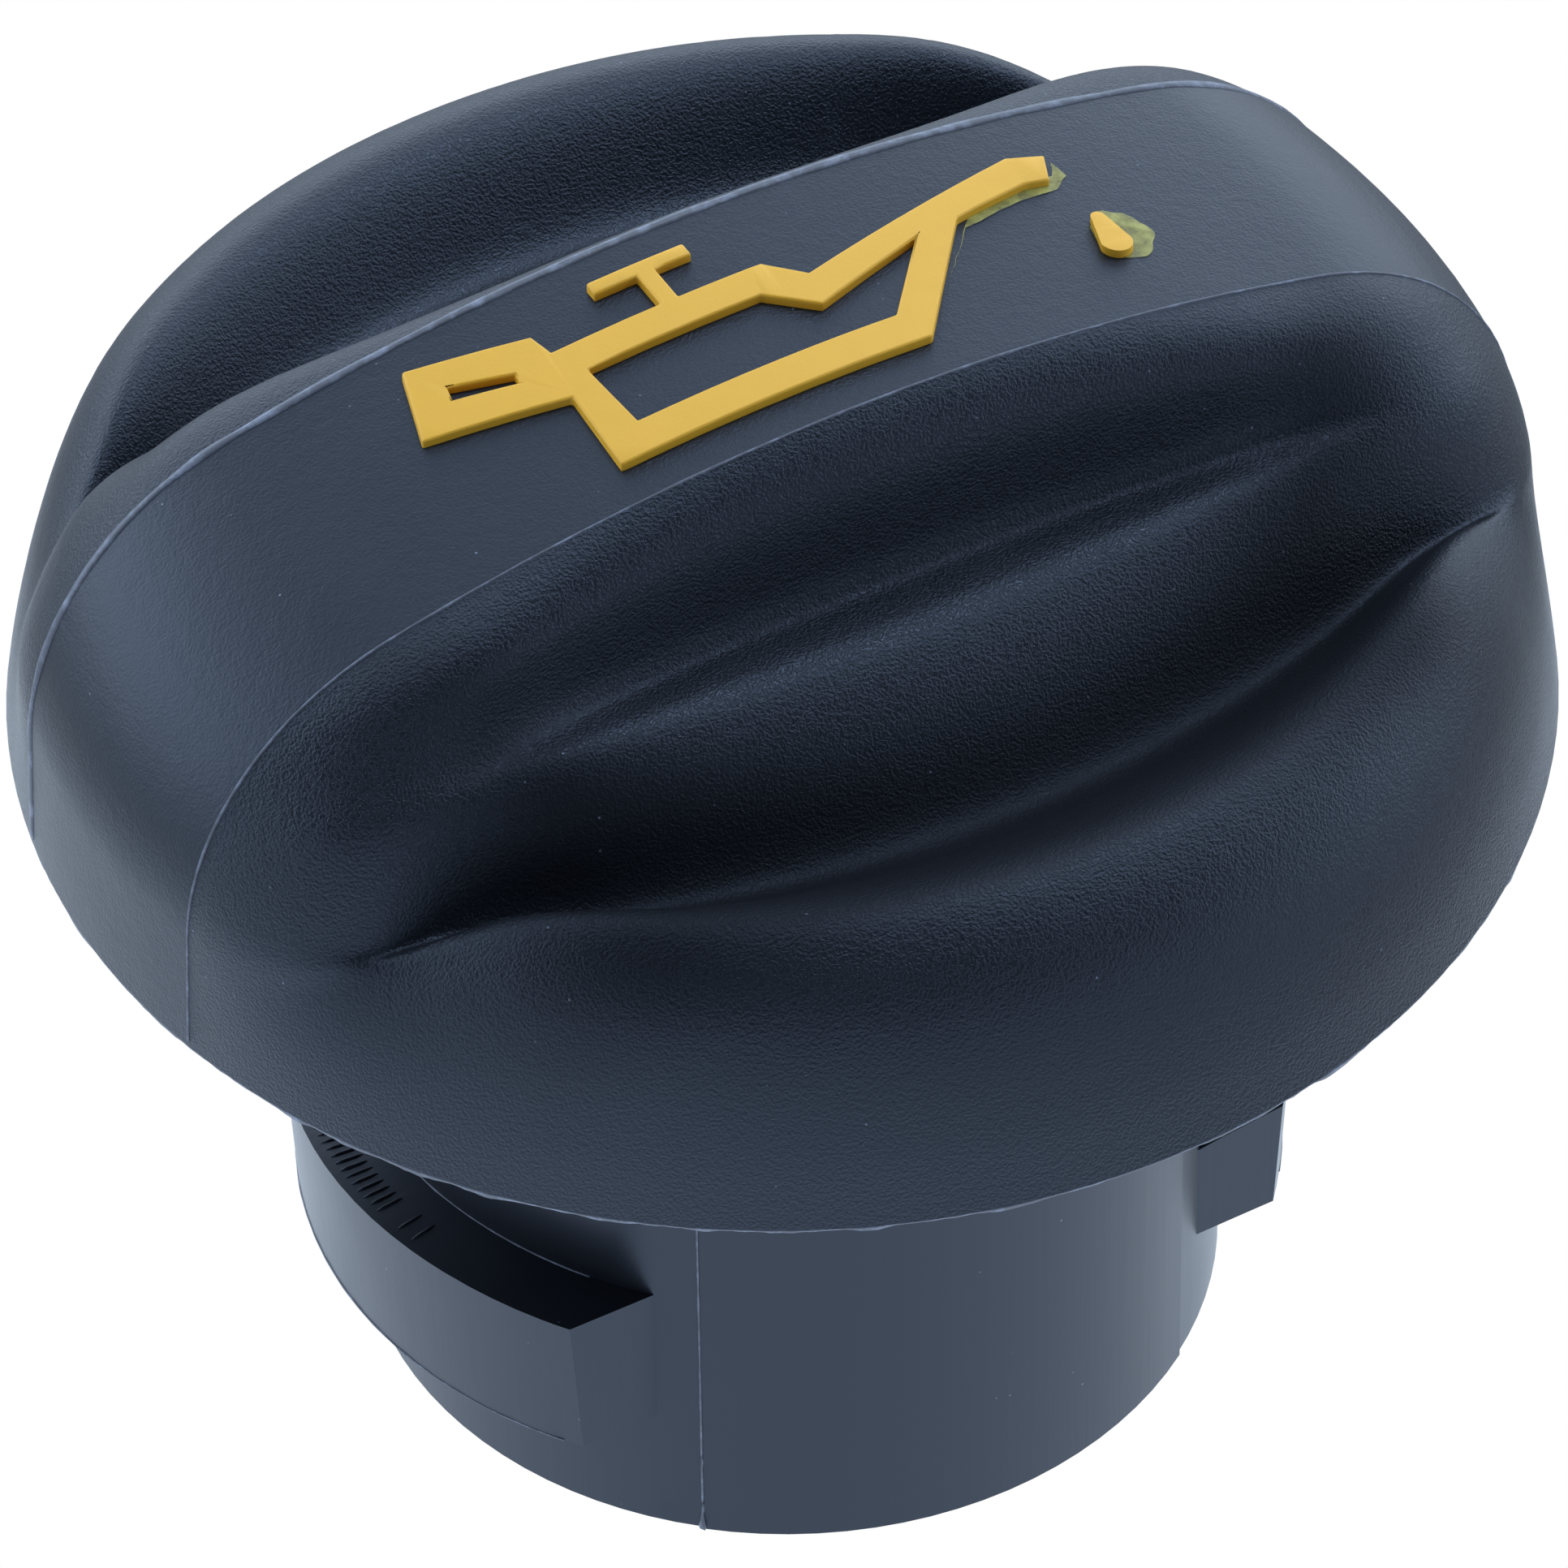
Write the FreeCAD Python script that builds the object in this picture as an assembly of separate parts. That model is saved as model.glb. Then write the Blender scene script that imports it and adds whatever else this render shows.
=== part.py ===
"""Oil filler cap: a round grip head with a raised bar, on a spigot tube with two bayonet lugs.

Millimetres.  The origin is on the axis at the foot of the tube, +Z points up through the head and
+X runs along the grip bar in the reading direction of the oil can symbol.
"""
import FreeCAD, Part
import math
import os

os.makedirs("parts", exist_ok=True)

V = FreeCAD.Vector

# head, heights above the rim
head_diameter = 66.0
head_height = 21.0
bar_width = 14.2
bar_crown_radius = 88.0
bar_corner_radius = 13.0
bar_end_draft = 2.3
valley_height = 13.8
bulge_height = 14.0
groove_height = 8.5
ridge_height = 12.0

# spigot tube
tube_diameter = 38.1
tube_length = 33.0
tube_wall = 2.5
slide_step = 0.12
slide_from = -56.0
slide_to = -131.0

# bayonet lugs, heights above the foot of the tube
lug_reach = 3.1
lug_draft = 3.0
lug_lead_y = 14.4
lug_trail_y = 12.9
lug_lead_top = 10.3
lug_dwell_top = 13.9
lug_lead_foot = 5.4
lug_dwell_foot = 6.6
lug_dwell_share = 0.8

# hollow underside
head_wall = 2.8
pocket_depth = 5.4
bore_rise = 8.5

# seal
seal_thickness = 3.0
seal_width = 4.6
seal_clearance = 0.15

# symbol, raised on the bar and keyed into it
symbol_length = 31.05
symbol_raise = 0.45
symbol_depth = 0.8

# run of cutting tools past what they cut, in millimetres and in radians round the axis
overrun = 1.0
turn_overrun = 0.25
half_turn = 180.0

rim_radius = head_diameter / 2.0
half_bar = bar_width / 2.0
bar_end = math.sqrt(rim_radius ** 2 - half_bar ** 2)
rim_z = tube_length
top_z = rim_z + head_height
tube_radius = tube_diameter / 2.0
bore_radius = tube_radius - tube_wall
pocket_radius = rim_radius - head_wall
lug_radius = tube_radius + lug_reach


def smooth(a):
    """Soft step from 0 to 1."""
    a = min(1.0, max(0.0, a))
    return a * a * a * (a * (6.0 * a - 15.0) + 10.0)


def bar_profile(inset=0.0):
    """Crown arc, corner arcs and leaning ends of the bar outline, set in by a wall."""
    crown = bar_crown_radius - inset
    corner = bar_corner_radius - inset
    end = bar_end - inset
    lean = math.radians(bar_end_draft)
    base = head_height - bar_crown_radius
    # the corner centre lies one corner radius inside both the end line and the crown arc
    start = end - corner / math.cos(lean)
    slope = math.tan(lean)
    half_b = start * slope + base
    c = start ** 2 + base ** 2 - (crown - corner) ** 2
    cz = (half_b + math.sqrt(half_b ** 2 - (1.0 + slope ** 2) * c)) / (1.0 + slope ** 2)
    cx = start - slope * cz
    return {"crown": crown, "corner": corner, "end": end, "lean": lean, "base": base,
            "cx": cx, "cz": cz, "join": math.atan2(cz - base, cx)}


def on_corner(p, angle):
    return (p["cx"] + p["corner"] * math.cos(angle), p["cz"] + p["corner"] * math.sin(angle))


def bar_solid(inset, width):
    """The bar outline, set in by a wall and pushed through a width, from the rim plane upward."""
    p = bar_profile(inset)
    apex = (0.0, p["base"] + p["crown"])
    join = on_corner(p, p["join"])
    middle = on_corner(p, 0.5 * (p["join"] + p["lean"]))
    low = on_corner(p, p["lean"])
    foot = (p["end"], 0.0)

    def at(point, side):
        return V(side * point[0], -width / 2.0, rim_z + point[1])

    edges = [
        Part.LineSegment(at(foot, -1), at(foot, 1)).toShape(),
        Part.LineSegment(at(foot, 1), at(low, 1)).toShape(),
        Part.Arc(at(low, 1), at(middle, 1), at(join, 1)).toShape(),
        Part.Arc(at(join, 1), at(apex, 1), at(join, -1)).toShape(),
        Part.Arc(at(join, -1), at(middle, -1), at(low, -1)).toShape(),
        Part.LineSegment(at(low, -1), at(foot, -1)).toShape(),
    ]
    return Part.Face(Part.Wire(edges)).extrude(V(0, width, 0))


# One scooped side is a skin of upright spokes, fanned out from the seam of the bar to the rim.
# The seam turns downward at its 45 degree point, where the end spoke starts.
seam_turn = math.radians(45.0)
spoke_count = 21
# towards the bar's ends the wall under the seam fades out first, then the waves and last the ridge; of each
# the heights fade before the lines leave their course
wall_fade = (0.30, 0.50)
wave_fade = (0.40, 0.58)
ridge_fade = (0.45, 0.58)

# lines of the scoop from the seam outward: share of the middle spoke, height there, and share of the
# spoke through the tips
tip_spoke = 0.77
valley_line = 2
groove_line = 6
scoop_lines = [
    (0.058, head_height - 0.20 * (head_height - valley_height), 0.250),
    (0.087, head_height - 0.57 * (head_height - valley_height), 0.335),
    (0.116, valley_height, 0.410),
    (0.205, bulge_height, 0.480),
    (0.300, bulge_height - 0.19 * (bulge_height - groove_height), 0.510),
    (0.388, bulge_height - 0.62 * (bulge_height - groove_height), 0.535),
    (0.490, groove_height, 0.570),
    (0.610, 0.45 * groove_height + 0.55 * ridge_height, 0.605),
    (0.742, ridge_height, 0.655),
    (0.853, 0.87 * ridge_height, 0.770),
    (0.934, 0.58 * ridge_height, 0.890),
    (0.973, 0.30 * ridge_height, 0.955),
]


def seam_point(s):
    """Point of the seam at a share -1 to 1 of its run between the turning points (x, height)."""
    p = bar_profile()
    crown_run = p["crown"] * (math.pi / 2.0 - p["join"])
    corner_run = p["corner"] * (p["join"] - seam_turn)
    run = abs(s) * (crown_run + corner_run)
    if run <= crown_run:
        angle = math.pi / 2.0 - run / p["crown"]
        x = p["crown"] * math.cos(angle)
        z = p["base"] + p["crown"] * math.sin(angle)
    else:
        x, z = on_corner(p, p["join"] - (run - crown_run) / p["corner"])
    return (math.copysign(x, s), z)


def end_point(share):
    """Point of the end spoke at a share of its run, from the turning point to the rim (x, height)."""
    p = bar_profile()
    low_x, low_z = on_corner(p, p["lean"])
    arc = p["corner"] * (seam_turn - p["lean"])
    line = low_z / math.cos(p["lean"])
    run = share * (arc + line)
    if run <= arc:
        return on_corner(p, seam_turn - run / p["corner"])
    left = 1.0 - (run - arc) / line
    return (p["end"] + left * (low_x - p["end"]), left * low_z)


def line_runs():
    """Share of the run over the middle section, seam to rim, at which each line lies."""
    reach = rim_radius - half_bar
    stops = [(0.0, head_height)] + [(m * reach, h) for m, h, tip in scoop_lines] + [(reach, 0.0)]
    runs = [0.0]
    for (y0, z0), (y1, z1) in zip(stops, stops[1:]):
        runs.append(runs[-1] + math.hypot(y1 - y0, z1 - z0))
    return [run / runs[-1] for run in runs[1:-1]]


def side_skin(hand):
    """Skin of one scooped side, hand -1 in front and 1 behind."""
    turn_x, turn_z = seam_point(1.0)
    corner_angle = math.asin(half_bar / rim_radius)
    runs = line_runs()
    grid = []
    for i in range(spoke_count):
        s = 2.0 * i / (spoke_count - 1.0) - 1.0
        sx, sz = seam_point(s)
        angle = math.pi / 2.0 - s * (math.pi / 2.0 - corner_angle)
        rx = rim_radius * math.cos(angle)
        ry = rim_radius * math.sin(angle)
        row = [V(sx, hand * half_bar, rim_z + sz)]
        for j, (middle, height, tip) in enumerate(scoop_lines):
            starts = wall_fade if j <= valley_line else wave_fade if j <= groove_line else ridge_fade
            fade, leave = [smooth((abs(s) - start) / (1.0 - start)) for start in starts]
            end_x, end_z = end_point(runs[j])
            end_t = (end_x - turn_x) / (bar_end - turn_x)
            t = middle + (tip - middle) * abs(s / tip_spoke) ** 3
            t = (1.0 - leave) * t + leave * end_t
            if j < valley_line:
                wall = (height - valley_height) / (head_height - valley_height)
                height = valley_height + wall * (sz - valley_height)
            end_z *= 1.0 + (1.0 - end_t ** 2) * (sz / turn_z - 1.0)
            z = (1.0 - fade) * height + fade * end_z
            row.append(V(sx + t * (rx - sx), hand * (half_bar + t * (ry - half_bar)), rim_z + z))
        row.append(V(rx, hand * ry, rim_z))
        grid.append(row)
    return skin_through(grid, [0.0] + runs + [1.0])


def skin_through(grid, runs):
    """Smooth surface through a grid of points: first along each spoke, then across the spokes."""
    across = [i / (len(grid) - 1.0) for i in range(len(grid))]
    spokes = [Part.BSplineCurve() for row in grid]
    for curve, row in zip(spokes, grid):
        curve.interpolate(Points=row, Parameters=runs)
    columns = []
    for poles in zip(*[curve.getPoles() for curve in spokes]):
        curve = Part.BSplineCurve()
        curve.interpolate(Points=list(poles), Parameters=across)
        columns.append(curve)
    rows = [list(row) for row in zip(*[curve.getPoles() for curve in columns])]
    skin = Part.BSplineSurface()
    skin.buildFromPolesMultsKnots(rows, columns[0].getMultiplicities(), spokes[0].getMultiplicities(),
                                  columns[0].getKnots(), spokes[0].getKnots(), False, False,
                                  columns[0].Degree, spokes[0].Degree)
    return skin


def rail(skin, which):
    """Boundary curve of a side skin."""
    u0, u1, v0, v1 = skin.bounds()
    if which == "seam":
        return skin.vIso(v0)
    if which == "rim":
        return skin.vIso(v1)
    if which == "left":
        return skin.uIso(u0)
    return skin.uIso(u1)


def bar_skin(near, far):
    """Skin of the bar between its two seams, bowed out to the round rim at the ends."""
    bow = 2.0 * rim_radius / bar_end - 1.0
    rows = [[a, V(a.x * bow, 0.0, a.z), b] for a, b in zip(near.getPoles(), far.getPoles())]
    skin = Part.BSplineSurface()
    skin.buildFromPolesMultsKnots(rows, near.getMultiplicities(), [3, 3], near.getKnots(), [0.0, 1.0],
                                  False, False, near.Degree, 2)
    return skin


def head_blank():
    """Solid head: two scooped sides, the bar between them and the flat of the rim."""
    front = side_skin(-1)
    back = side_skin(1)
    faces = [front.toShape(), back.toShape()]
    rim = [rail(front, "rim").toShape(), rail(back, "rim").toShape()]
    for which in ("seam", "left", "right"):
        skin = bar_skin(rail(front, which), rail(back, which))
        faces.append(skin.toShape())
        if which != "seam":
            rim.append(skin.uIso(skin.bounds()[1]).toShape())
    faces.append(Part.Face(Part.Wire(Part.__sortEdges__(rim))))
    shell = Part.makeShell(faces)
    shell.sewShape()
    solid = Part.makeSolid(shell)
    if solid.Volume < 0:
        solid.reverse()
    return solid


def cylinder(radius, z0, z1):
    return Part.makeCylinder(radius, z1 - z0, V(0, 0, z0))


def ring(inner, outer, z0, z1):
    return cylinder(outer, z0, z1).cut(cylinder(inner, z0 - overrun, z1 + overrun))


def underside():
    """Everything cored out of the head from below: the seal pocket and the inside of the bar."""
    pocket = ring(tube_radius, pocket_radius, rim_z - overrun, rim_z + pocket_depth)
    bar_core = bar_solid(head_wall, bar_width - 2.0 * head_wall)
    return pocket.fuse(bar_core.common(cylinder(bore_radius, rim_z - overrun, top_z)))


def tube():
    """Spigot with the two raised fields between the slides of the mould."""
    low_radius = tube_radius - slide_step
    body = cylinder(low_radius, 0.0, rim_z + pocket_depth)
    sweep = slide_from - slide_to
    for start in (slide_to, slide_to + half_turn):
        field = Part.makeCylinder(tube_radius, rim_z + pocket_depth, V(0, 0, 0), V(0, 0, 1), sweep)
        field.rotate(V(0, 0, 0), V(0, 0, 1), start)
        body = body.fuse(field)
    return body


def ramp(height_at, lead, trail):
    """Face that winds about the axis between two angles, rising as the height law says."""
    steps = 12
    curves = []
    for radius in (bore_radius - overrun, lug_radius + 2.0 * overrun):
        points = []
        for i in range(steps + 1):
            a = lead + i * (trail - lead) / steps
            points.append(V(radius * math.cos(a), radius * math.sin(a), height_at(i / steps)))
        curve = Part.BSplineCurve()
        curve.interpolate(points)
        curves.append(curve.toShape())
    return Part.makeRuledSurface(curves[0], curves[1])


def lug_pair():
    """Two bayonet lugs, half a turn apart, with ramped tops that end in a level dwell."""
    lead = math.pi - math.asin(lug_lead_y / lug_radius) - turn_overrun
    trail = math.pi + math.asin(lug_trail_y / lug_radius) + turn_overrun

    def top(share):
        return lug_lead_top + (lug_dwell_top - lug_lead_top) * math.sin(
            min(1.0, share / lug_dwell_share) * math.pi / 2.0)

    def foot(share):
        return lug_lead_foot + (lug_dwell_foot - lug_lead_foot) * share

    z0 = lug_lead_foot - overrun
    z1 = lug_dwell_top + overrun
    rise = z1 - z0
    spread = rise * math.tan(math.radians(lug_draft))
    body = Part.makeCone(lug_radius - spread, lug_radius, rise, V(0, 0, z0))
    body = body.cut(cylinder(tube_radius - 0.5 * tube_wall, z0 - overrun, z1 + overrun))
    reach = 2.0 * lug_radius
    body = body.common(Part.makeBox(reach, lug_lead_y + lug_trail_y, rise, V(-reach, -lug_trail_y, z0)))
    body = body.cut(ramp(top, lead, trail).extrude(V(0, 0, rise)))
    body = body.cut(ramp(foot, lead, trail).extrude(V(0, 0, -rise)))
    other = body.copy()
    other.rotate(V(0, 0, 0), V(0, 0, 1), half_turn)
    return [body, other]


# the symbol's outlines as drawn in plan, about the cap's axis
can_outline = [
    (-14.95, 5.1), (-9.65, 3.6), (-9.4, 2.3), (0.5, 2.3), (2.0, 0.8), (13.2, 3.9), (14.9, 3.5),
    (14.25, 1.95), (13.1, 2.05), (9.3, 1.15), (4.5, -5.1), (-10.2, -5.1), (-9.95, -0.5), (-16.15, 1.1),
]
can_window = [(-8.65, 0.56), (-0.45, 0.56), (1.5, -1.2), (7.05, 0.72), (3.85, -3.25), (-8.4, -3.25)]
handle_window = [(-13.85, 3.15), (-11.25, 2.1), (-11.3, 1.55), (-14.0, 2.4)]
pump_stem = [(-4.25, 1.5), (-3.4, 1.5), (-3.4, 4.6), (-4.25, 4.6)]
pump_knob = [(-6.25, 4.28), (-1.65, 4.28), (-1.65, 5.05), (-6.25, 5.05)]
drop_foot = [(14.0, -2.75), (14.72, -3.46), (15.44, -2.75)]
drop_tip = [(15.18, -1.0), (14.86, -0.72), (14.53, -1.0)]
drawn_length = max(x for x, y in can_outline) - min(x for x, y in can_outline)


def drawn(point):
    """Plan point of the symbol at its real size."""
    return V(point[0], point[1], 0) * (symbol_length / drawn_length)


def outline(points):
    """Closed face from drawn points, at the foot plane."""
    return Part.Face(Part.makePolygon([drawn(point) for point in points + points[:1]]))


def crown_slab(face, low, high):
    """A plan face pushed up and kept between two shells that follow the crown of the bar."""
    base = top_z - bar_crown_radius
    prism = face.extrude(V(0, 0, top_z + high + overrun))

    def shell(radius):
        return Part.makeCylinder(radius, bar_width, V(0, -half_bar, base), V(0, 1, 0))

    return prism.common(shell(bar_crown_radius + high).cut(shell(bar_crown_radius + low)))


def oil_can(low, high):
    """Oil can with handle, pump and spout."""
    body = outline(can_outline).cut(outline(can_window)).cut(outline(handle_window))
    pump = [crown_slab(outline(points), low, high) for points in (pump_stem, pump_knob)]
    return crown_slab(body, low, high).fuse(pump).removeSplitter()


def oil_drop(low, high):
    """Falling drop below the spout."""
    foot = [drawn(point) for point in drop_foot]
    tip = [drawn(point) for point in drop_tip]
    edges = [
        Part.Arc(*foot).toShape(),
        Part.LineSegment(foot[2], tip[0]).toShape(),
        Part.Arc(*tip).toShape(),
        Part.LineSegment(tip[2], foot[0]).toShape(),
    ]
    return crown_slab(Part.Face(Part.Wire(edges)), low, high)


def cap_body():
    body = head_blank().cut(underside())
    body = body.fuse([tube()] + lug_pair())
    body = body.cut(cylinder(bore_radius, -overrun, rim_z + bore_rise))
    body = body.cut([oil_can(-symbol_depth, symbol_raise), oil_drop(-symbol_depth, symbol_raise)])
    return body.removeSplitter()


def seal_ring():
    inner = tube_radius + seal_clearance
    z1 = rim_z + pocket_depth
    return ring(inner, inner + seal_width, z1 - seal_thickness, z1)


pieces = {
    "cap_body": cap_body(),
    "seal_ring": seal_ring(),
    "oil_can_symbol": oil_can(-symbol_depth, symbol_raise),
    "oil_drop_symbol": oil_drop(-symbol_depth, symbol_raise),
}
for name, shape in pieces.items():
    if not shape.isValid() or len(shape.Solids) != 1:
        raise RuntimeError(name + " is not one valid solid")
    shape.exportStep("parts/" + name + ".step")
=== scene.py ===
import math

import bmesh
import bpy
from mathutils import Matrix, Vector, noise
from mathutils.bvhtree import BVHTree


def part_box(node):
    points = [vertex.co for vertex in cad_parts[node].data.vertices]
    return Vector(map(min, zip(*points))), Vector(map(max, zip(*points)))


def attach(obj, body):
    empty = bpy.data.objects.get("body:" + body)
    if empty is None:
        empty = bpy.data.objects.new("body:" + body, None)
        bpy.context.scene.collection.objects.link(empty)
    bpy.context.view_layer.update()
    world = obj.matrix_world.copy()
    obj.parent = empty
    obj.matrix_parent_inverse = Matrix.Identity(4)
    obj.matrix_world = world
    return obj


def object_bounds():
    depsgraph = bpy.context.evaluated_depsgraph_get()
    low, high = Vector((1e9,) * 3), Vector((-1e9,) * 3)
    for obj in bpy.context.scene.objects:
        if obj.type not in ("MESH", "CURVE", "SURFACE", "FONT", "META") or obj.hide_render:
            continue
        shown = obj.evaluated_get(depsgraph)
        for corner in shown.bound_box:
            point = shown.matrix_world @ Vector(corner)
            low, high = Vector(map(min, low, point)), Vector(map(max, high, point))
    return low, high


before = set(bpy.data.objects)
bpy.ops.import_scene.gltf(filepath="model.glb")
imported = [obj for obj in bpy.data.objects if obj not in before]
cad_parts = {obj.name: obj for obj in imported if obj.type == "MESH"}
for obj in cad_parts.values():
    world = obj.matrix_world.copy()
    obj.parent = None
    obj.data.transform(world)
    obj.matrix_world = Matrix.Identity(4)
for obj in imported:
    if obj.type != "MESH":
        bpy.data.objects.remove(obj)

bl_info = {
    "name": "Oil filler cap",
    "version": (1, 0, 0),
    "blender": (4, 5, 0),
    "location": "View3D > Sidebar > Oil Cap",
    "description": "Dresses a moulded oil filler cap with its finishes, mould marks and studio",
    "category": "Object",
}

MM = 0.001
CAD_BOX = [list(corner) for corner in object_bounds()]
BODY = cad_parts["cap_body"]
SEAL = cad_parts["seal_ring"]
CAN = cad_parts["oil_can_symbol"]
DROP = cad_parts["oil_drop_symbol"]
UP = Vector((0.0, 0.0, 1.0))
DOWN = -UP

# heights and widths of the cap
HEAD_RADIUS = CAD_BOX[1][1]
TOP_Z = CAD_BOX[1][2]
ABOVE_Z = TOP_Z + 5.0 * MM
RIM_Z = 33.0 * MM
HALF_BAR = 7.1 * MM
BELOW_LUGS_Z = 2.0 * MM
LUG_MIDDLE_Z = 9.0 * MM
ABOVE_LUGS_Z = 22.5 * MM

# the outer grooves run along an ellipse in plan and fade out towards its ends
GROOVE_HALF_LENGTH = 28.9 * MM
GROOVE_HALF_WIDTH = 19.8 * MM
GROOVE_FADE = (17.0 * MM, 26.0 * MM)

# angles in degrees: where the mould's slides met, and what each lug carries
SLIDE_ANGLES = (-131.0, -56.0, 49.0, 124.0)
LUG_TURNS = (("left", 180.0), ("right", 0.0))
LUG_FROM = -37.0
LUG_SPAN = 71.0
RIB_ANGLES = [-15.0 + 1.4 * k for k in range(16)] + [10.0, 12.5]

# outline of the film beside the spout, in millimetres from the spout's tip
SPOUT_TIP_Y = 3.5 * MM
SPOUT_FILM = ((0.25, -0.15), (0.35, -1.2), (-0.5, -1.95), (-2.2, -2.0), (-5.4, -2.75), (-7.6, -5.3),
              (-6.0, -3.4), (-5.0, -2.2), (-1.8, -1.2), (-0.2, -1.0))

# middle of the floor's glow, and the directions of the lamp above and the window behind
FLOOR_GLOW = (-53.0 * MM, -42.0 * MM, 0.0)
LAMP_AIM = (0.37, 0.20, 0.907)
WINDOW_AIM = (-0.66, 0.60, 0.45)
FULL_GLOSS = 0.5


def length(name, description, default):
    return bpy.props.FloatProperty(name=name, description=description, default=default, unit="LENGTH",
                                   precision=5)


def colour(name, description, default):
    return bpy.props.FloatVectorProperty(name=name, description=description, default=default, size=3,
                                         subtype="COLOR", min=0.0, max=1.0)


def factor(name, description, default):
    return bpy.props.FloatProperty(name=name, description=description, default=default, min=0.0, max=1.0,
                                   subtype="FACTOR")


def angle(name, description, degrees):
    return bpy.props.FloatProperty(name=name, description=description, default=math.radians(degrees),
                                   subtype="ANGLE")


def glow(name, description, default):
    return bpy.props.FloatProperty(name=name, description=description, default=default, min=0.0)


class OilCapFinish(bpy.types.PropertyGroup):
    """Colours and grain of the moulded pieces"""
    plastic: colour("Plastic", "Colour of the black moulding", (0.0090, 0.0105, 0.0145))
    sheen: colour("Sheen", "Tint of the moulding's reflections", (0.60, 0.73, 1.0))
    yellow: colour("Yellow", "Colour of the symbol", (0.82, 0.44, 0.026))
    film: colour("Film", "Colour of the thin yellow film", (0.42, 0.40, 0.10))
    rubber: colour("Rubber", "Colour of the seal", (0.012, 0.012, 0.013))
    grain: length("Grain", "Size of the spark-eroded grain on the grip sides", 0.14 * MM)
    grain_depth: length("Grain depth", "Height of that grain", 0.028 * MM)
    side_roughness: factor("Side roughness", "Roughness of the grained sides", 0.36)
    bar_roughness: factor("Bar roughness", "Roughness of the bar", 0.38)
    tube_roughness: factor("Tube roughness", "Roughness of the tube", 0.34)
    # painted shade: gloss taken off the front groove so that it reads dark
    groove_painted_shade: factor("Groove painted shade", "Gloss lost in the front groove", 0.38)
    edge: length("Symbol edge", "Rounding of the symbol's edges", 0.14 * MM)


class OilCapMarks(bpy.types.PropertyGroup):
    """Marks that the mould leaves"""
    seam_width: length("Seam width", "Width of the flash along the seams", 0.15 * MM)
    rim_depth: length("Rim flash", "Depth of the flash along the rim", 0.22 * MM)
    rib_length: length("Rib length", "Length of the fine ribs on the lug tops", 1.5 * MM)
    rib_width: length("Rib width", "Width of those ribs", 0.15 * MM)
    film: length("Film", "Thickness of the yellow film beside the symbol", 0.04 * MM)


class OilCapStudio(bpy.types.PropertyGroup):
    """Camera and lights"""
    lens: bpy.props.FloatProperty(name="Lens", description="Focal length in millimetres", default=298.1)
    azimuth: angle("Azimuth", "Camera's turn about the cap's axis", -29.06)
    elevation: angle("Elevation", "Camera's height angle", 43.64)
    roll: angle("Roll", "Camera's roll", 0.83)
    place: bpy.props.FloatVectorProperty(name="Place", description="Camera's place", size=3, unit="LENGTH",
                                         default=(-0.19569, -0.35219, 0.41088))
    light: colour("Light", "Colour of the light tent", (0.74, 0.86, 1.0))
    wall_light: glow("Wall light", "Glow of the tent's low walls", 1.9)
    roof_light: glow("Roof light", "Glow of the tent's roof", 0.80)
    front_light: glow("Front light", "Low glow on the camera's side", 1.4)
    lamp_light: glow("Lamp", "Glow of the lamp above the cap", 6.6)
    window_light: glow("Window", "Glow of the window behind on the left", 0.8)
    floor_light: glow("Floor light", "Glow of the floor before the cap", 1.5)


def start_material(name):
    """New material, with its tree, its shader and the place in the piece's own frame."""
    material = bpy.data.materials.new(name)
    material.use_nodes = True
    tree = material.node_tree
    place = add(tree, "ShaderNodeTexCoord").outputs["Object"]
    return material, tree, tree.nodes["Principled BSDF"], place


def add(tree, kind, **settings):
    """New node, with properties by name and sockets by number."""
    node = tree.nodes.new(kind)
    for key, value in settings.items():
        if key.startswith("i") and key[1:].isdigit():
            socket = node.inputs[int(key[1:])]
            if isinstance(value, bpy.types.NodeSocket):
                tree.links.new(value, socket)
            else:
                socket.default_value = value
        else:
            setattr(node, key, value)
    return node


def math_node(tree, operation, a, b=0.0, c=0.0):
    return add(tree, "ShaderNodeMath", operation=operation, i0=a, i1=b, i2=c).outputs[0]


def product(tree, first, *others):
    for other in others:
        first = math_node(tree, "MULTIPLY", first, other)
    return first


def flipped(tree, value):
    return math_node(tree, "SUBTRACT", 1.0, value)


def vector_value(tree, operation, a, b=(0.0, 0.0, 0.0)):
    return add(tree, "ShaderNodeVectorMath", operation=operation, i0=a, i1=b).outputs["Value"]


def ramp(tree, value, low, high):
    """Soft step of a value between two limits."""
    node = add(tree, "ShaderNodeMapRange", interpolation_type="SMOOTHSTEP", i0=value, i1=low, i2=high)
    return node.outputs[0]


def noise_of(tree, vector, size, detail=2.0, roughness=0.5):
    node = add(tree, "ShaderNodeTexNoise", i0=vector)
    node.inputs["Scale"].default_value = 1.0 / size
    node.inputs["Detail"].default_value = detail
    node.inputs["Roughness"].default_value = roughness
    return node.outputs["Fac"]


def blend(tree, share, first, second):
    """Mix of two colours."""
    return add(tree, "ShaderNodeMix", data_type="RGBA", i0=share, i6=first, i7=second).outputs[2]


def shaded(base, share):
    """A colour made darker or paler."""
    return (*[share * c for c in base], 1.0)


def add_bump(tree, shader, height, depth, strength=1.0):
    bump = add(tree, "ShaderNodeBump")
    bump.inputs["Strength"].default_value = strength
    bump.inputs["Distance"].default_value = depth
    tree.links.new(height, bump.inputs["Height"])
    tree.links.new(bump.outputs[0], shader.inputs["Normal"])


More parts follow.
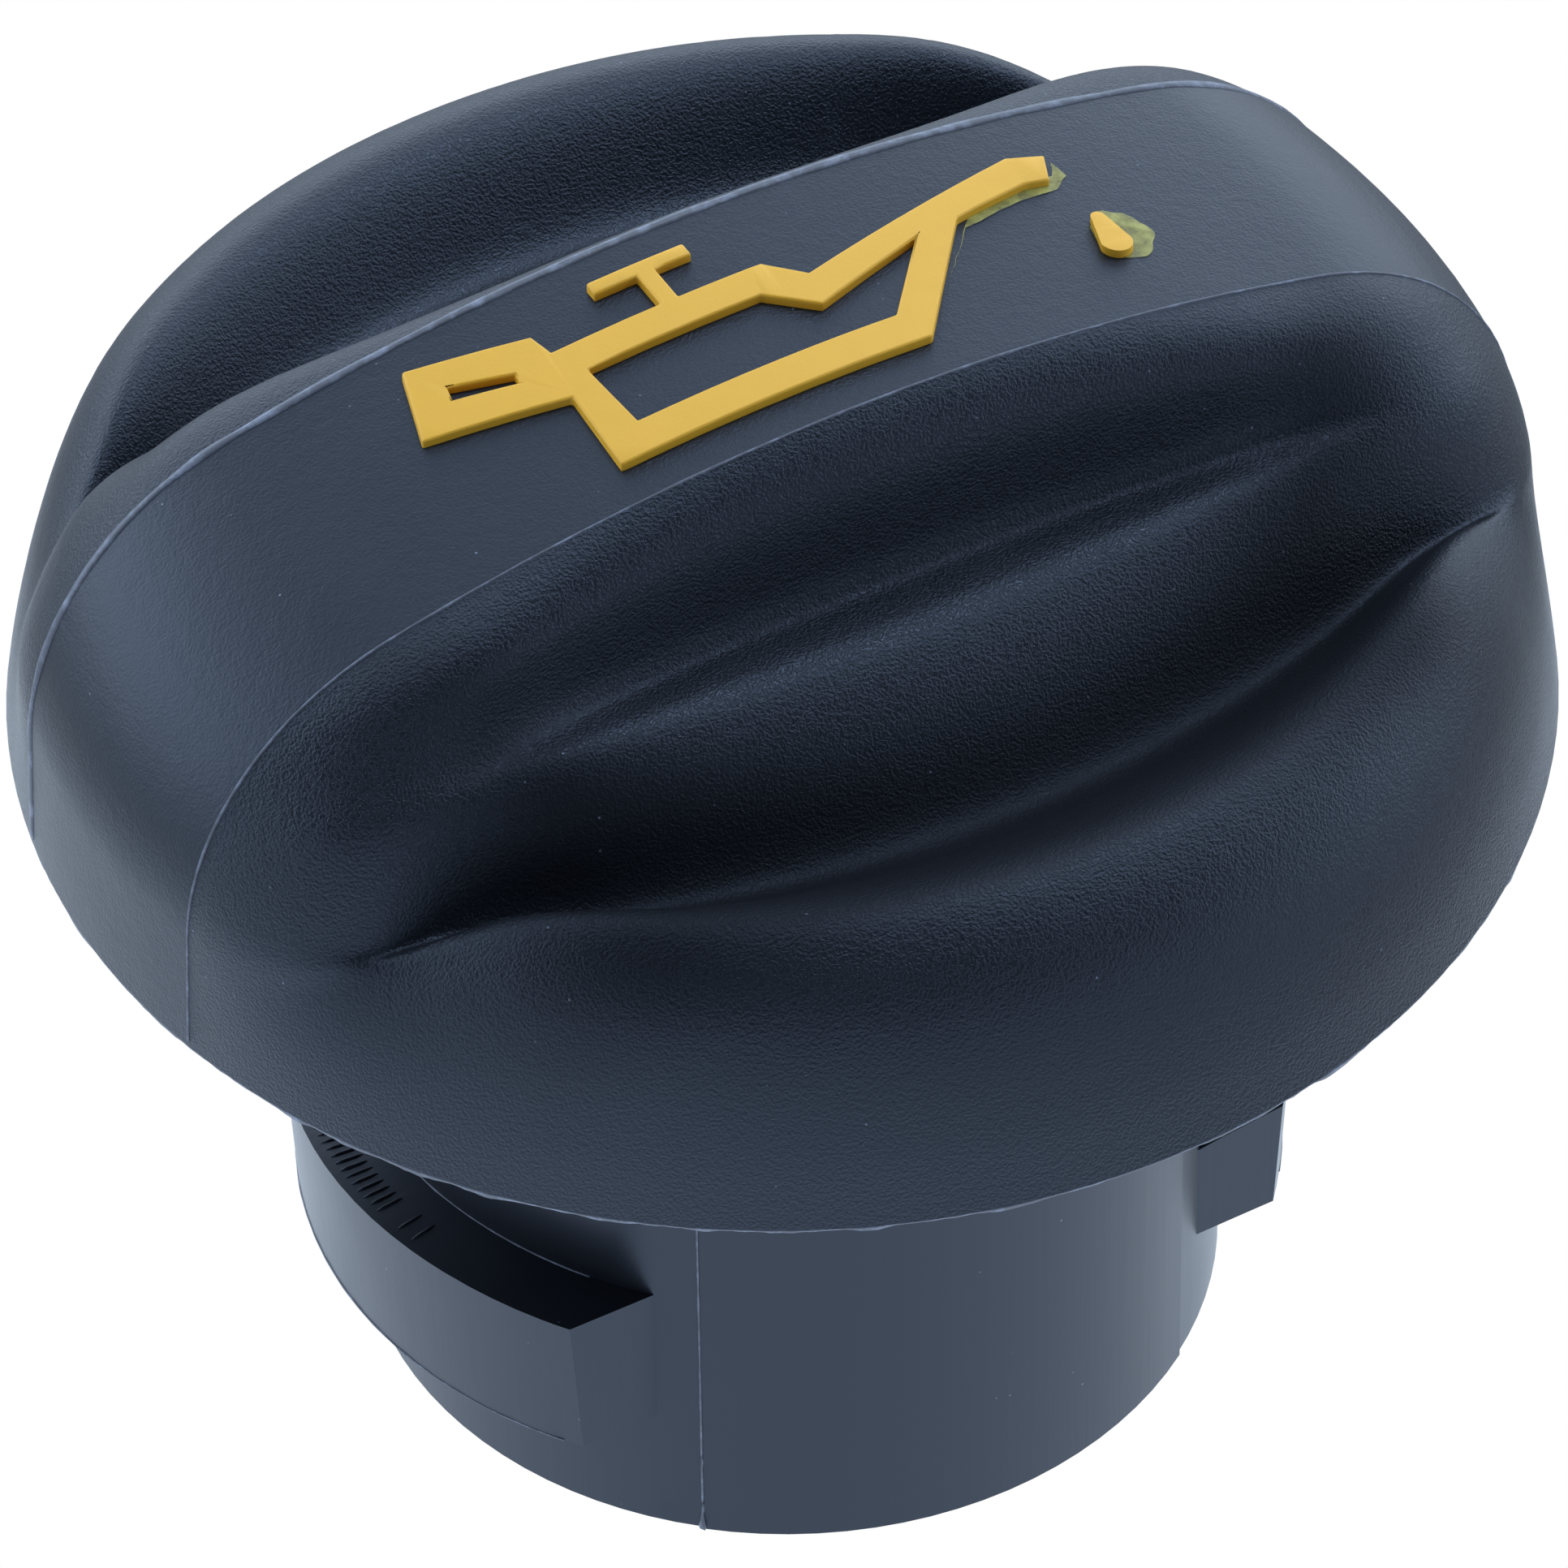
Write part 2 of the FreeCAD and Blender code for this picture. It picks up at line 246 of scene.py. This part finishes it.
def moulded_height(tree, finish, place, z, sides, bar, tube):
    """Height of the grain on the sides, the orange peel on the bar and the drag marks on the tube."""
    grain = ramp(tree, noise_of(tree, place, finish.grain, 2.0, 0.55), 0.32, 0.68)
    peel = noise_of(tree, place, 4.0 * finish.grain, 1.0)
    stretch = add(tree, "ShaderNodeMapping", i0=place)
    stretch.inputs["Scale"].default_value = (1.0, 1.0, 0.03)
    drag = noise_of(tree, stretch.outputs[0], 0.5 * MM, 3.0, 0.6)
    # the grain is plainer low on the outer wall
    upper = ramp(tree, z, RIM_Z + 6.0 * MM, RIM_Z + 13.0 * MM)
    upper = math_node(tree, "MULTIPLY_ADD", upper, 0.4, 0.6)
    height = product(tree, grain, upper, sides)
    for pattern, zone, share in ((grain, bar, 0.30), (peel, bar, 0.60), (drag, tube, 0.35)):
        height = math_node(tree, "MULTIPLY_ADD", product(tree, pattern, zone), share, height)
    return height


def moulded_colour(tree, finish, place, cloud):
    """Clouded black with fine specks of dust."""
    base = blend(tree, cloud, shaded(finish.plastic, 0.86), shaded(finish.plastic, 1.18))
    dots = add(tree, "ShaderNodeTexVoronoi", i0=place)
    dots.inputs["Scale"].default_value = 1.0 / (1.3 * MM)
    dust = flipped(tree, ramp(tree, dots.outputs["Distance"], 0.02, 0.055))
    dust = product(tree, dust, ramp(tree, cloud, 0.46, 0.60))
    return blend(tree, dust, base, shaded(finish.plastic, 16.0))


def front_groove_shade_mask(tree, place, x, y):
    """Share from 0 to 1 of the groove on the front side, where shade is painted by taking gloss off."""
    plan = (1.0 / GROOVE_HALF_LENGTH, 1.0 / GROOVE_HALF_WIDTH, 0.0)
    plan = add(tree, "ShaderNodeVectorMath", operation="MULTIPLY", i0=place, i1=plan).outputs[0]
    ring = vector_value(tree, "LENGTH", plan)
    band = math_node(tree, "SUBTRACT", ramp(tree, ring, 0.76, 0.94), ramp(tree, ring, 1.26, 1.44))
    inward = flipped(tree, ramp(tree, math_node(tree, "ABSOLUTE", x), *GROOVE_FADE))
    return product(tree, band, inward, ramp(tree, y, 0.0, -HALF_BAR))


def plastic_material(finish):
    """Black moulding: grained sides, a plainer bar, a tube with upright drag marks and painted shade in
    the front groove.
    """
    material, tree, shader, place = start_material("moulded_black_plastic")
    x, y, z = add(tree, "ShaderNodeSeparateXYZ", i0=place).outputs
    head = ramp(tree, z, RIM_Z - 0.05 * MM, RIM_Z + 0.05 * MM)
    across = math_node(tree, "ABSOLUTE", y)
    sides = product(tree, head, ramp(tree, across, HALF_BAR - 0.02 * MM, HALF_BAR + 0.10 * MM))
    bar = math_node(tree, "SUBTRACT", head, sides)
    tube = flipped(tree, head)
    cloud = noise_of(tree, place, 6.0 * MM, 3.0)

    height = moulded_height(tree, finish, place, z, sides, bar, tube)
    add_bump(tree, shader, height, finish.grain_depth)

    rough = math_node(tree, "MULTIPLY_ADD", cloud, 0.08, -0.04)
    for zone, value in ((sides, finish.side_roughness), (bar, finish.bar_roughness),
                        (tube, finish.tube_roughness)):
        rough = math_node(tree, "MULTIPLY_ADD", zone, value, rough)
    tree.links.new(rough, shader.inputs["Roughness"])

    tree.links.new(moulded_colour(tree, finish, place, cloud), shader.inputs["Base Color"])
    # painted shade: the front groove loses gloss so that it reads as dark as the shade there
    groove = product(tree, front_groove_shade_mask(tree, place, x, y), sides)
    gloss = math_node(tree, "MULTIPLY_ADD", groove, -finish.groove_painted_shade, FULL_GLOSS)
    tree.links.new(gloss, shader.inputs["Specular IOR Level"])
    shader.inputs["IOR"].default_value = 1.5
    shader.inputs["Specular Tint"].default_value = (*finish.sheen, 1.0)
    return material


def yellow_material(finish):
    """Satin yellow second shot with a fine grain."""
    material, tree, shader, place = start_material("yellow_plastic")
    cloud = noise_of(tree, place, 1.6 * MM, 3.0)
    base = blend(tree, cloud, shaded(finish.yellow, 0.94), shaded(finish.yellow, 1.0))
    tree.links.new(base, shader.inputs["Base Color"])
    shader.inputs["Roughness"].default_value = 0.5
    add_bump(tree, shader, noise_of(tree, place, finish.grain), 0.4 * finish.grain_depth, 0.5)
    return material


def rubber_material(finish):
    """Matt seal rubber with a faint bloom."""
    material, tree, shader, place = start_material("seal_rubber")
    cloud = noise_of(tree, place, 3.0 * MM, 4.0)
    base = blend(tree, cloud, shaded(finish.rubber, 1.0), shaded(finish.rubber, 2.0))
    tree.links.new(base, shader.inputs["Base Color"])
    shader.inputs["Roughness"].default_value = 0.7
    add_bump(tree, shader, noise_of(tree, place, 0.25 * MM), 0.02 * MM)
    return material


def flash_material(finish):
    """Thin plastic at parting lines, painted paler than the moulding as a highlight along its thin edges,
    and brightest where it is torn.
    """
    material, tree, shader, place = start_material("flash_plastic_painted_highlight")
    torn = ramp(tree, noise_of(tree, place, 0.9 * MM, 3.0, 0.65), 0.42, 0.75)
    # painted highlight: the flash is a lit, paler copy of the black moulding
    base = blend(tree, torn, shaded(finish.plastic, 9.0), shaded(finish.plastic, 22.0))
    tree.links.new(base, shader.inputs["Base Color"])
    shader.inputs["Roughness"].default_value = 0.45
    return material


def film_material(finish):
    """Thin yellow film over black: partly see-through, with a greenish cast."""
    material, tree, shader, place = start_material("yellow_film")
    cloud = ramp(tree, noise_of(tree, place, 0.7 * MM, 3.0), 0.3, 0.8)
    shader.inputs["Base Color"].default_value = (*finish.film, 1.0)
    shader.inputs["Roughness"].default_value = 0.35
    tree.links.new(math_node(tree, "MULTIPLY_ADD", cloud, 0.5, 0.42), shader.inputs["Alpha"])
    return material


def dress(node, material):
    node.data.materials.clear()
    node.data.materials.append(material)


def soften_edges(node, width):
    """Round the edges of a moulded symbol."""
    weld = node.modifiers.new("joined_facets", "WELD")
    weld.merge_threshold = 0.002 * MM
    bevel = node.modifiers.new("soft_edges", "BEVEL")
    bevel.width = width
    bevel.segments = 3
    bevel.limit_method = "ANGLE"
    bevel.miter_outer = "MITER_SHARP"
    shading = node.modifiers.new("even_shading", "WEIGHTED_NORMAL")
    shading.weight = 100


def surface_tree():
    """Search tree of the cap body's surface."""
    return BVHTree.FromObject(BODY, bpy.context.evaluated_depsgraph_get())


def hit(tree, start, aim):
    """Place and normal where a ray meets the cap body."""
    place, normal = tree.ray_cast(start, aim)[:2]
    if place is None:
        raise RuntimeError("a mould mark misses the cap body")
    return place, normal


def outward(turn):
    return Vector((math.cos(turn), math.sin(turn), 0.0))


def edge_radius(tree, turn, z):
    """Radius of the outer surface at an angle and height."""
    out = outward(turn)
    place = hit(tree, out * 2.0 * HEAD_RADIUS + UP * z, -out)[0]
    return math.hypot(place.x, place.y)


def uneven(place, size, seed):
    """Smooth noise from 0 to 1 at a place."""
    return 0.5 + 0.5 * noise.noise(place / size + Vector((seed, 0.0, 0.0)))


def finish_piece(name, mesh, material):
    bmesh.ops.recalc_face_normals(mesh, faces=mesh.faces)
    data = bpy.data.meshes.new(name)
    mesh.to_mesh(data)
    mesh.free()
    data.materials.append(material)
    for face in data.polygons:
        face.use_smooth = True
    piece = bpy.data.objects.new(name, data)
    bpy.context.scene.collection.objects.link(piece)
    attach(piece, "root")
    return piece


def bead(name, path, widths, material, sink=0.35, rise=0.55):
    """Fine raised line along surface points: a five-sided ribbon that sits in the surface.

    path holds (place, normal) pairs and widths one width for each of them. sink and rise are shares of
    the width.
    """
    section = ((-0.6, -sink), (-0.42, 0.5 * rise), (0.0, rise), (0.42, 0.5 * rise), (0.6, -sink))
    mesh = bmesh.new()
    rows = []
    last = len(path) - 1
    for i, (place, normal) in enumerate(path):
        run = path[min(i + 1, last)][0] - path[max(i - 1, 0)][0]
        side = run.cross(normal).normalized()
        rows.append([mesh.verts.new(place + side * (a * widths[i]) + normal * (b * widths[i]))
                     for a, b in section])
    for first, second in zip(rows, rows[1:]):
        for k in range(-1, len(section) - 1):
            mesh.faces.new((first[k], first[k + 1], second[k + 1], second[k]))
    mesh.faces.new(list(reversed(rows[0])))
    mesh.faces.new(rows[-1])
    return finish_piece(name, mesh, material)


def flash_bead(name, path, widths, rise=0.55):
    return bead(name, path, widths, bpy.data.materials["flash_plastic_painted_highlight"], rise=rise)


class OILCAP_OT_finishes(bpy.types.Operator):
    """Give the moulded body, seal and symbol their finishes"""
    bl_idname = "oilcap.finishes"
    bl_label = "Finishes"

    def execute(self, context):
        finish = context.scene.oilcap_finish
        dress(BODY, plastic_material(finish))
        flash_material(finish)
        yellow = yellow_material(finish)
        for symbol in (CAN, DROP):
            dress(symbol, yellow)
            soften_edges(symbol, finish.edge)
        dress(SEAL, rubber_material(finish))
        return {"FINISHED"}


class OILCAP_OT_seam_flash(bpy.types.Operator):
    """Lay the fine flash along the front seam of the grip bar, and along the back seam a wide pale strip
    that paints the highlight of the bar's rounded back edge
    """
    bl_idname = "oilcap.seam_flash"
    bl_label = "Seam flash"

    def execute(self, context):
        width = context.scene.oilcap_marks.seam_width
        tree = surface_tree()
        middle_z = RIM_Z + 2.0 * MM
        inside = HALF_BAR - 0.06 * MM
        steps = 420
        # the front seam is a fine flash line; the back seam is a wide flat pale strip, a painted highlight
        # of the bar's rounded back edge
        for name, y, swell, rise in (("seam_flash_front", -inside, 1.0, 0.55),
                                     ("seam_flash_back", inside, 3.8, 0.18)):
            path, widths = [], []
            for i in range(steps + 1):
                turn = math.radians(-3.0 + 186.0 * i / steps)
                out = Vector((math.cos(turn), 0.0, math.sin(turn)))
                place, normal = hit(tree, Vector((0.0, y, middle_z)) + out * 60.0 * MM, -out)
                if place.z < RIM_Z:
                    continue
                path.append((place, normal))
                widths.append(width * swell * (0.5 + 0.6 * uneven(place, 2.6 * MM, y / MM)))
            flash_bead(name, path, widths, rise)
        return {"FINISHED"}


class OILCAP_OT_rim_flash(bpy.types.Operator):
    """Lay the torn flash along the rim of the head"""
    bl_idname = "oilcap.rim_flash"
    bl_label = "Rim flash"

    def execute(self, context):
        depth = context.scene.oilcap_marks.rim_depth
        steps = 900
        mesh = bmesh.new()
        rows = []
        for i in range(steps):
            out = outward(2.0 * math.pi * i / steps)
            rim = out * HEAD_RADIUS + UP * RIM_Z
            tear = max(0.0, uneven(rim, 1.7 * MM, 7.0) - 0.55)
            drop = depth * (0.25 + 0.5 * uneven(rim, 0.5 * MM, 3.0) + 3.0 * tear)
            corners = (rim - out * 0.02 * MM, rim - out * 0.03 * MM + DOWN * drop, rim - out * 0.12 * MM)
            rows.append([mesh.verts.new(corner) for corner in corners])
        for first, second in zip(rows, rows[1:] + rows[:1]):
            for k in range(-1, 2):
                mesh.faces.new((first[k], first[k + 1], second[k + 1], second[k]))
        finish_piece("rim_flash", mesh, bpy.data.materials["flash_plastic_painted_highlight"])
        return {"FINISHED"}


class OILCAP_OT_lug_marks(bpy.types.Operator):
    """Cut-tool ribs on the lug tops and the fine flash along the lug edges"""
    bl_idname = "oilcap.lug_marks"
    bl_label = "Lug marks"

    def execute(self, context):
        marks = context.scene.oilcap_marks
        tree = surface_tree()
        for side, lug_turn in LUG_TURNS:
            for number, rib_angle in enumerate(RIB_ANGLES):
                turn = math.radians(lug_turn + rib_angle)
                self.rib(f"lug_rib_{side}_{number + 1}", turn, marks, tree)
            self.edge_flash(side, lug_turn, marks, tree)
        return {"FINISHED"}

    @staticmethod
    def rib(name, turn, marks, tree):
        """Short rib across a lug's top, tapered at both ends."""
        edge = edge_radius(tree, turn, LUG_MIDDLE_Z)
        taper = (0.5, 1.0, 1.0, 1.0, 0.3)
        path = []
        for step in range(len(taper)):
            radius = edge - marks.rib_length * (0.15 + 0.85 * step / (len(taper) - 1))
            path.append(hit(tree, outward(turn) * radius + UP * ABOVE_LUGS_Z, DOWN))
        thick = marks.rib_width * (0.8 + 0.4 * uneven(path[0][0], 0.5 * MM, 5.0))
        bead(name, path, [thick * share for share in taper], BODY.data.materials[0], sink=0.1)

    @staticmethod
    def edge_flash(side, lug_turn, marks, tree):
        """Flash along a lug's foot and where its top meets the tube."""
        foot, root = [], []
        steps = 60
        for step in range(steps + 1):
            turn = math.radians(lug_turn + LUG_FROM + LUG_SPAN * step / steps)
            out = outward(turn)
            under = out * (edge_radius(tree, turn, LUG_MIDDLE_Z) - 0.6 * MM)
            foot_z = hit(tree, under, UP)[0].z + 0.03 * MM
            foot.append((out * edge_radius(tree, turn, foot_z) + UP * foot_z, out))
            tube_radius = edge_radius(tree, turn, BELOW_LUGS_Z)
            above = out * (tube_radius + 0.1 * MM) + UP * ABOVE_LUGS_Z
            root.append((hit(tree, above, DOWN)[0] - out * 0.1 * MM, (out + UP).normalized()))
        for name, path in (("foot", foot), ("root", root)):
            widths = [marks.seam_width * (0.3 + 0.6 * uneven(place, 1.3 * MM, 11.0)) for place, _ in path]
            flash_bead(f"lug_{name}_flash_{side}", path, widths)


class OILCAP_OT_tube_flash(bpy.types.Operator):
    """Flash lines where the slides of the mould met on the tube"""
    bl_idname = "oilcap.tube_flash"
    bl_label = "Tube flash"

    def execute(self, context):
        width = context.scene.oilcap_marks.seam_width
        tree = surface_tree()
        steps = 80
        for number, slide_angle in enumerate(SLIDE_ANGLES):
            out = outward(math.radians(slide_angle))
            path, widths = [], []
            for step in range(steps + 1):
                z = 0.15 * MM + (RIM_Z - 0.4 * MM) * step / steps
                place, normal = hit(tree, out * HEAD_RADIUS + UP * z, -out)
                path.append((place, normal))
                # the first line ends in a nib at the tube's foot
                nib = 2.2 * max(0.0, 1.0 - z / (0.8 * MM)) if number == 0 else 0.0
                widths.append(width * (0.45 + 0.6 * uneven(place, 1.1 * MM, number * 3.0) + nib))
            flash_bead(f"tube_flash_{number + 1}", path, widths)
        return {"FINISHED"}


class OILCAP_OT_symbol_film(bpy.types.Operator):
    """Thin yellow film that crept out beside the spout and round the drop"""
    bl_idname = "oilcap.symbol_film"
    bl_label = "Symbol film"

    def execute(self, context):
        thickness = context.scene.oilcap_marks.film
        tree = surface_tree()
        material = film_material(context.scene.oilcap_finish)
        self.film("drop_film", self.drop_edge(), thickness, tree, material)
        self.film("spout_film", self.spout_edge(), thickness, tree, material)
        return {"FINISHED"}

    @staticmethod
    def drop_edge():
        """Plan outline of the film round the drop, which lies mostly to its right."""
        low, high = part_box("oil_drop_symbol")
        middle = (low + high) / 2.0 + Vector((0.75, 0.05, 0.0)) * MM
        edge = []
        steps = 72
        for step in range(steps):
            out = outward(2.0 * math.pi * step / steps)
            way = Vector((1.15 * out.x, 1.65 * out.y, 0.0)) * MM
            edge.append(middle + way * (0.78 + 0.45 * uneven(way, 0.8 * MM, 2.0)))
        return edge

    @staticmethod
    def spout_edge():
        """Plan outline of the film along the underside of the spout."""
        tip = Vector((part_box("oil_can_symbol")[1].x, SPOUT_TIP_Y, 0.0))
        edge = []
        steps = 8
        for first, second in zip(SPOUT_FILM, SPOUT_FILM[1:] + SPOUT_FILM[:1]):
            for step in range(steps):
                place = tip + Vector(first).lerp(Vector(second), step / steps).to_3d() * MM
                stray = 0.12 * MM * (uneven(place, 0.7 * MM, 4.0) - 0.5)
                edge.append(place + Vector((stray, -stray, 0.0)))
        return edge

    @staticmethod
    def film(name, edge, thickness, tree, material):
        """Sheet over a closed plan outline, laid on the bar."""
        mesh = bmesh.new()
        mesh.faces.new([mesh.verts.new((place.x, place.y, TOP_Z)) for place in edge])
        bmesh.ops.triangulate(mesh, faces=mesh.faces)
        bmesh.ops.subdivide_edges(mesh, edges=mesh.edges, cuts=2, use_grid_fill=True)
        for vert in mesh.verts:
            # over the symbol's recess the film keeps the height of the bar beside it
            place = hit(tree, Vector((vert.co.x, vert.co.y, ABOVE_Z)), DOWN)[0]
            beside, normal = hit(tree, Vector((vert.co.x, -0.93 * HALF_BAR, ABOVE_Z)), DOWN)
            place.z = max(place.z, beside.z + thickness)
            vert.co = place + normal * thickness
        finish_piece(name, mesh, material)


class OILCAP_OT_stage(bpy.types.Operator):
    """Set up the floor, lights, background and camera"""
    bl_idname = "oilcap.stage"
    bl_label = "Stage"

    def execute(self, context):
        studio = context.scene.oilcap_studio
        pale_floor(context.scene, studio)
        light_tent(context.scene, studio)
        set_camera(context.scene, studio)
        context.scene.view_settings.view_transform = "Standard"
        return {"FINISHED"}


def pale_floor(scene, studio):
    """Floor under the tube, plain white from above and clear from below, that glows before the cap."""
    mesh = bmesh.new()
    bmesh.ops.create_grid(mesh, x_segments=1, y_segments=1, size=4.0)
    data = bpy.data.meshes.new("floor")
    mesh.to_mesh(data)
    mesh.free()
    floor = bpy.data.objects.new("floor", data)
    floor.location.z = CAD_BOX[0][2] - 0.05 * MM
    scene.collection.objects.link(floor)
    data.materials.append(floor_material(studio))


def floor_material(studio):
    material, tree, shader, place = start_material("pale_floor")
    shader.inputs["Base Color"].default_value = (0.15, 0.15, 0.15, 1.0)
    shader.inputs["Roughness"].default_value = 0.9
    shader.inputs["Emission Color"].default_value = (*studio.light, 1.0)
    reach = vector_value(tree, "DISTANCE", place, FLOOR_GLOW)
    under_head = flipped(tree, ramp(tree, vector_value(tree, "LENGTH", place), 55.0 * MM, 85.0 * MM))
    near = math_node(tree, "MULTIPLY_ADD", ramp(tree, reach, 50.0 * MM, 160.0 * MM), -0.92, 1.0)
    near = math_node(tree, "MAXIMUM", near, under_head)
    far = ramp(tree, reach, 200.0 * MM, 360.0 * MM)
    strength = product(tree, math_node(tree, "MULTIPLY_ADD", far, 0.7, near), studio.floor_light)
    tree.links.new(strength, shader.inputs["Emission Strength"])
    white = add(tree, "ShaderNodeEmission")
    seen = add(tree, "ShaderNodeLightPath").outputs["Is Camera Ray"]
    above = add(tree, "ShaderNodeMixShader", i0=seen, i1=shader.outputs[0], i2=white.outputs[0])
    below = add(tree, "ShaderNodeNewGeometry").outputs["Backfacing"]
    clear = add(tree, "ShaderNodeBsdfTransparent")
    mix = add(tree, "ShaderNodeMixShader", i0=below, i1=above.outputs[0], i2=clear.outputs[0])
    tree.links.new(mix.outputs[0], tree.nodes["Material Output"].inputs["Surface"])
    return material


def light_tent(scene, studio):
    """White tent round the cap: bright low walls at the sides and back, dim on the camera's side."""
    world = bpy.data.worlds.new("light_tent")
    scene.world = world
    world.use_nodes = True
    tree = world.node_tree
    aim = add(tree, "ShaderNodeTexCoord").outputs["Generated"]
    height = add(tree, "ShaderNodeSeparateXYZ", i0=aim).outputs[2]
    front = (math.sin(studio.azimuth), -math.cos(studio.azimuth), 0.0)
    toward = ramp(tree, vector_value(tree, "DOT_PRODUCT", aim, front), -0.2, 0.45)
    low = flipped(tree, ramp(tree, height, 0.2, 0.75))
    wall = math_node(tree, "MULTIPLY_ADD", low, studio.wall_light, studio.roof_light)
    skirt = flipped(tree, ramp(tree, height, 0.05, 0.42))
    lamp = ramp(tree, vector_value(tree, "DOT_PRODUCT", aim, LAMP_AIM), 0.955, 0.985)
    window = ramp(tree, vector_value(tree, "DOT_PRODUCT", aim, WINDOW_AIM), 0.75, 0.95)
    strength = product(tree, flipped(tree, toward), wall)
    for part, power in ((product(tree, skirt, toward), studio.front_light), (lamp, studio.lamp_light),
                        (window, studio.window_light)):
        strength = math_node(tree, "MULTIPLY_ADD", part, power, strength)
    room = tree.nodes["Background"]
    room.inputs["Color"].default_value = (*studio.light, 1.0)
    tree.links.new(strength, room.inputs["Strength"])
    white = add(tree, "ShaderNodeBackground")
    white.inputs["Color"].default_value = (1.0, 1.0, 1.0, 1.0)
    seen = add(tree, "ShaderNodeLightPath").outputs["Is Camera Ray"]
    mix = add(tree, "ShaderNodeMixShader", i0=seen, i1=room.outputs[0], i2=white.outputs[0])
    tree.links.new(mix.outputs[0], tree.nodes["World Output"].inputs["Surface"])


def set_camera(scene, studio):
    """Camera that stands where the photograph's stood."""
    az, el, roll = studio.azimuth, studio.elevation, studio.roll
    back = Vector((math.sin(az) * math.cos(el), -math.cos(az) * math.cos(el), math.sin(el)))
    right = outward(az)
    down = right.cross(back)
    x_axis = right * math.cos(roll) + down * math.sin(roll)
    y_axis = right * math.sin(roll) - down * math.cos(roll)
    data = bpy.data.cameras.new("camera")
    data.lens = studio.lens
    data.sensor_width = 36.0
    camera = bpy.data.objects.new("camera", data)
    turn = Matrix((x_axis, y_axis, back)).transposed().to_4x4()
    camera.matrix_world = Matrix.Translation(studio.place) @ turn
    scene.collection.objects.link(camera)
    scene.camera = camera


class OILCAP_PT_panel(bpy.types.Panel):
    """Sizes, colours and steps of the oil filler cap"""
    bl_idname = "OILCAP_PT_panel"
    bl_label = "Oil filler cap"
    bl_space_type = "VIEW_3D"
    bl_region_type = "UI"
    bl_category = "Oil Cap"

    def draw(self, context):
        layout = self.layout
        for name, group in GROUPS.items():
            box = layout.box()
            for key in group.__annotations__:
                box.prop(getattr(context.scene, name), key)
        for step in STEPS:
            layout.operator(step.bl_idname)


GROUPS = {"oilcap_finish": OilCapFinish, "oilcap_marks": OilCapMarks, "oilcap_studio": OilCapStudio}
STEPS = (OILCAP_OT_finishes, OILCAP_OT_seam_flash, OILCAP_OT_rim_flash, OILCAP_OT_lug_marks,
         OILCAP_OT_tube_flash, OILCAP_OT_symbol_film, OILCAP_OT_stage)


def register():
    for group in GROUPS.values():
        bpy.utils.register_class(group)
    for name, group in GROUPS.items():
        setattr(bpy.types.Scene, name, bpy.props.PointerProperty(type=group))
    for step in STEPS:
        bpy.utils.register_class(step)
    bpy.utils.register_class(OILCAP_PT_panel)


def unregister():
    bpy.utils.unregister_class(OILCAP_PT_panel)
    for step in reversed(STEPS):
        bpy.utils.unregister_class(step)
    for name, group in GROUPS.items():
        delattr(bpy.types.Scene, name)
        bpy.utils.unregister_class(group)


def main():
    register()
    bpy.ops.oilcap.finishes()
    bpy.ops.oilcap.seam_flash()
    bpy.ops.oilcap.rim_flash()
    bpy.ops.oilcap.lug_marks()
    bpy.ops.oilcap.tube_flash()
    bpy.ops.oilcap.symbol_film()
    bpy.ops.oilcap.stage()


if __name__ == "__main__":
    main()
